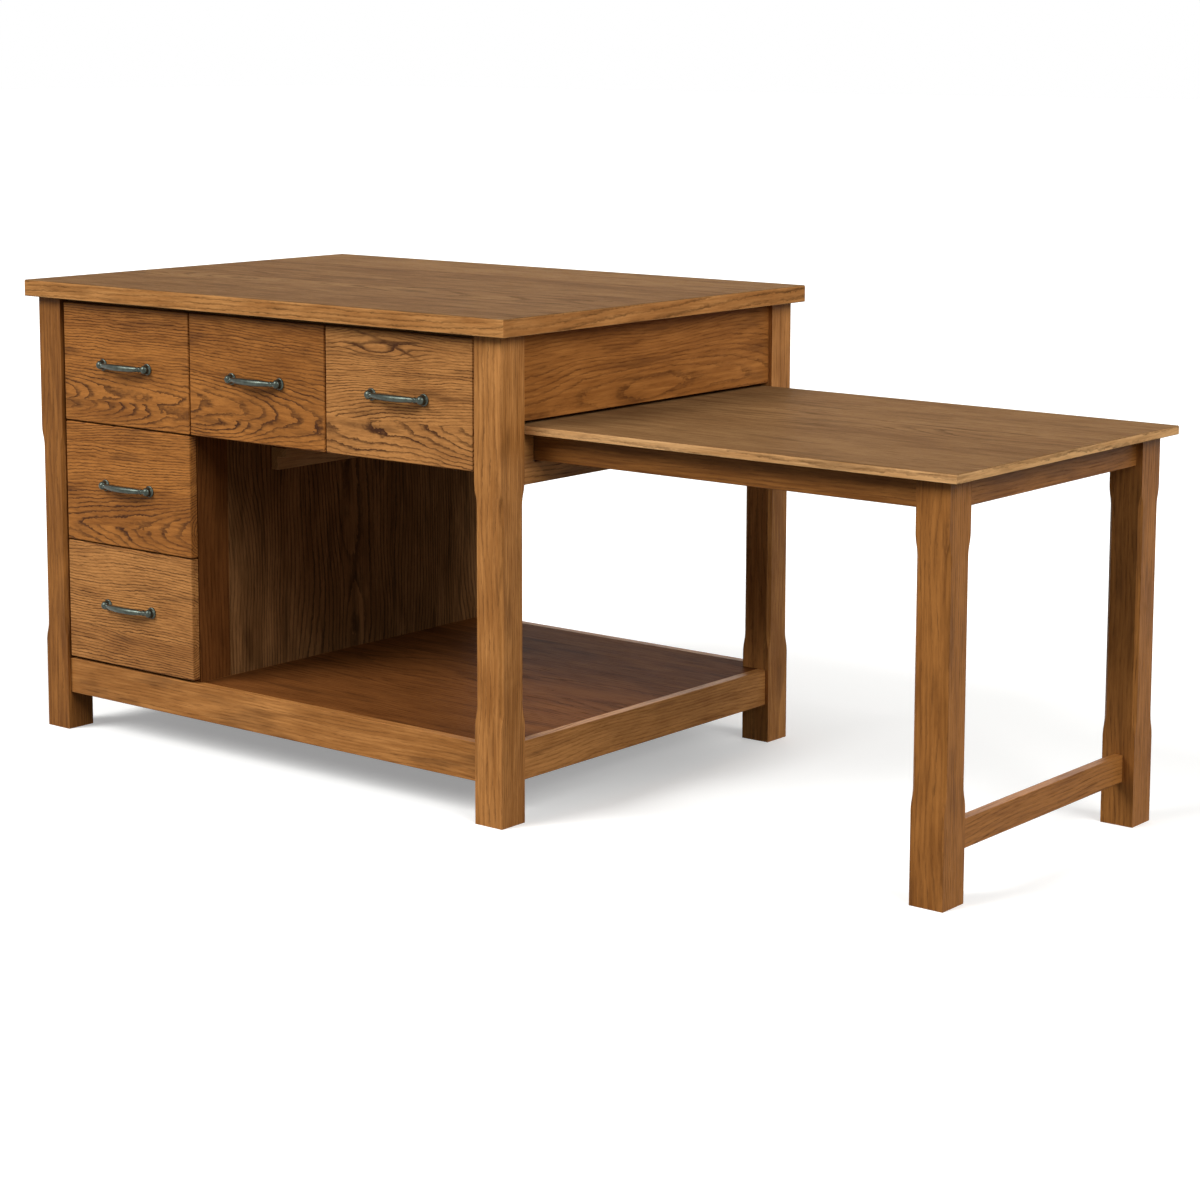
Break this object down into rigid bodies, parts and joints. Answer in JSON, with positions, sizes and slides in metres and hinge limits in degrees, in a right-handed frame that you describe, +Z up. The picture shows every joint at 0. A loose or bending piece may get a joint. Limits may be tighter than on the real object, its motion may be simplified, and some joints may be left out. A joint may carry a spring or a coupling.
{
  "type": "kitchen island",
  "caption": "Stained oak kitchen island with drawers, an open shelf bay and a dining table that pulls out of its right side on telescopic slides.",
  "frame": {"origin": "on the floor, below the middle of the whole unit's box with the table pulled out and the drawers shut", "axes": "+X right along the front, towards the table; +Y from the drawer fronts to the back; +Z up"},
  "size_m": [2.1338, 0.918, 0.914],
  "materials": {
    "oak_top": "stained oak, satin lacquer, greyish sheen",
    "oak_front": "golden-brown stained oak, cathedral grain, satin",
    "oak_frame": "golden-brown stained oak, straight grain, satin",
    "oak_panel": "stained oak veneer, satin",
    "inner_wood": "plain planed wood, thin lacquer",
    "box_wood": "pale planed wood, clear lacquer",
    "bottom_ply": "pale plywood, clear lacquer",
    "pull_metal": "antique pewter, dark in the hollows",
    "slide_steel": "zinc-plated steel"
  },
  "bodies": {
    "island": {"worktop": "oak_top", "post_front_left": "oak_frame", "post_front_right": "oak_frame", "post_back_left": "oak_frame", "post_back_right": "oak_frame", "front_bottom_rail": "oak_frame", "back_bottom_rail": "oak_frame", "left_bottom_rail": "oak_frame", "right_bottom_rail": "oak_frame", "right_guide_rail": "oak_frame", "case_side_stile": "oak_frame", "case_cleat": "oak_frame", "bottom_shelf": "oak_panel", "left_end_panel": "oak_panel", "right_upper_panel": "oak_panel", "case_back_panel": "oak_panel", "back_upper_panel": "oak_panel", "case_side_panel": "oak_panel", "carcass_battens": "inner_wood", "drawer_partition": "inner_wood", "front_top_rail": "inner_wood", "table_runners": "inner_wood", "fixed_slide_channels": "slide_steel", "worktop_screws": "slide_steel"},
    "table": {"table_top": "oak_top", "table_apron_front": "oak_frame", "table_apron_back": "oak_frame", "table_end_apron": "oak_frame", "table_inner_batten": "inner_wood", "table_end_stretcher": "oak_frame", "table_leg_front": "oak_frame", "table_leg_back": "oak_frame", "table_corner_blocks": "inner_wood", "table_slide_channels": "slide_steel"},
    "table_slides": {"middle_slide_channels": "slide_steel"},
    "top_left_drawer": {"top_left_drawer_front": "oak_front", "top_left_drawer_box": "box_wood", "top_left_drawer_bottom": "bottom_ply", "top_left_drawer_pull": "pull_metal", "top_left_drawer_slides": "slide_steel"},
    "top_middle_drawer": {"top_middle_drawer_front": "oak_front", "top_middle_drawer_box": "box_wood", "top_middle_drawer_bottom": "bottom_ply", "top_middle_drawer_pull": "pull_metal", "top_middle_drawer_slides": "slide_steel"},
    "top_right_drawer": {"top_right_drawer_front": "oak_front", "top_right_drawer_box": "box_wood", "top_right_drawer_bottom": "bottom_ply", "top_right_drawer_pull": "pull_metal", "top_right_drawer_slides": "slide_steel"},
    "middle_left_drawer": {"middle_left_drawer_front": "oak_front", "middle_left_drawer_box": "box_wood", "middle_left_drawer_bottom": "bottom_ply", "middle_left_drawer_pull": "pull_metal", "middle_left_drawer_slides": "slide_steel"},
    "lower_left_drawer": {"lower_left_drawer_front": "oak_front", "lower_left_drawer_box": "box_wood", "lower_left_drawer_bottom": "bottom_ply", "lower_left_drawer_pull": "pull_metal", "lower_left_drawer_slides": "slide_steel"}
  },
  "joints": [
    {"name": "table_slide", "type": "slide", "parent": "island", "child": "table", "axis": [1, 0, 0], "range_m": [-0.745, 0]},
    {"name": "middle_slides", "type": "slide", "parent": "island", "child": "table_slides", "axis": [1, 0, 0], "range_m": [-0.3725, 0]},
    {"name": "top_left_drawer_slide", "type": "slide", "parent": "island", "child": "top_left_drawer", "axis": [0, -1, 0], "range_m": [0, 0.375]},
    {"name": "top_middle_drawer_slide", "type": "slide", "parent": "island", "child": "top_middle_drawer", "axis": [0, -1, 0], "range_m": [0, 0.375]},
    {"name": "top_right_drawer_slide", "type": "slide", "parent": "island", "child": "top_right_drawer", "axis": [0, -1, 0], "range_m": [0, 0.375]},
    {"name": "middle_left_drawer_slide", "type": "slide", "parent": "island", "child": "middle_left_drawer", "axis": [0, -1, 0], "range_m": [0, 0.375]},
    {"name": "lower_left_drawer_slide", "type": "slide", "parent": "island", "child": "lower_left_drawer", "axis": [0, -1, 0], "range_m": [0, 0.375]}
  ],
  "couplings": [
    {"joint": "middle_slides", "follows": "table_slide", "ratio": 0.5}
  ]
}
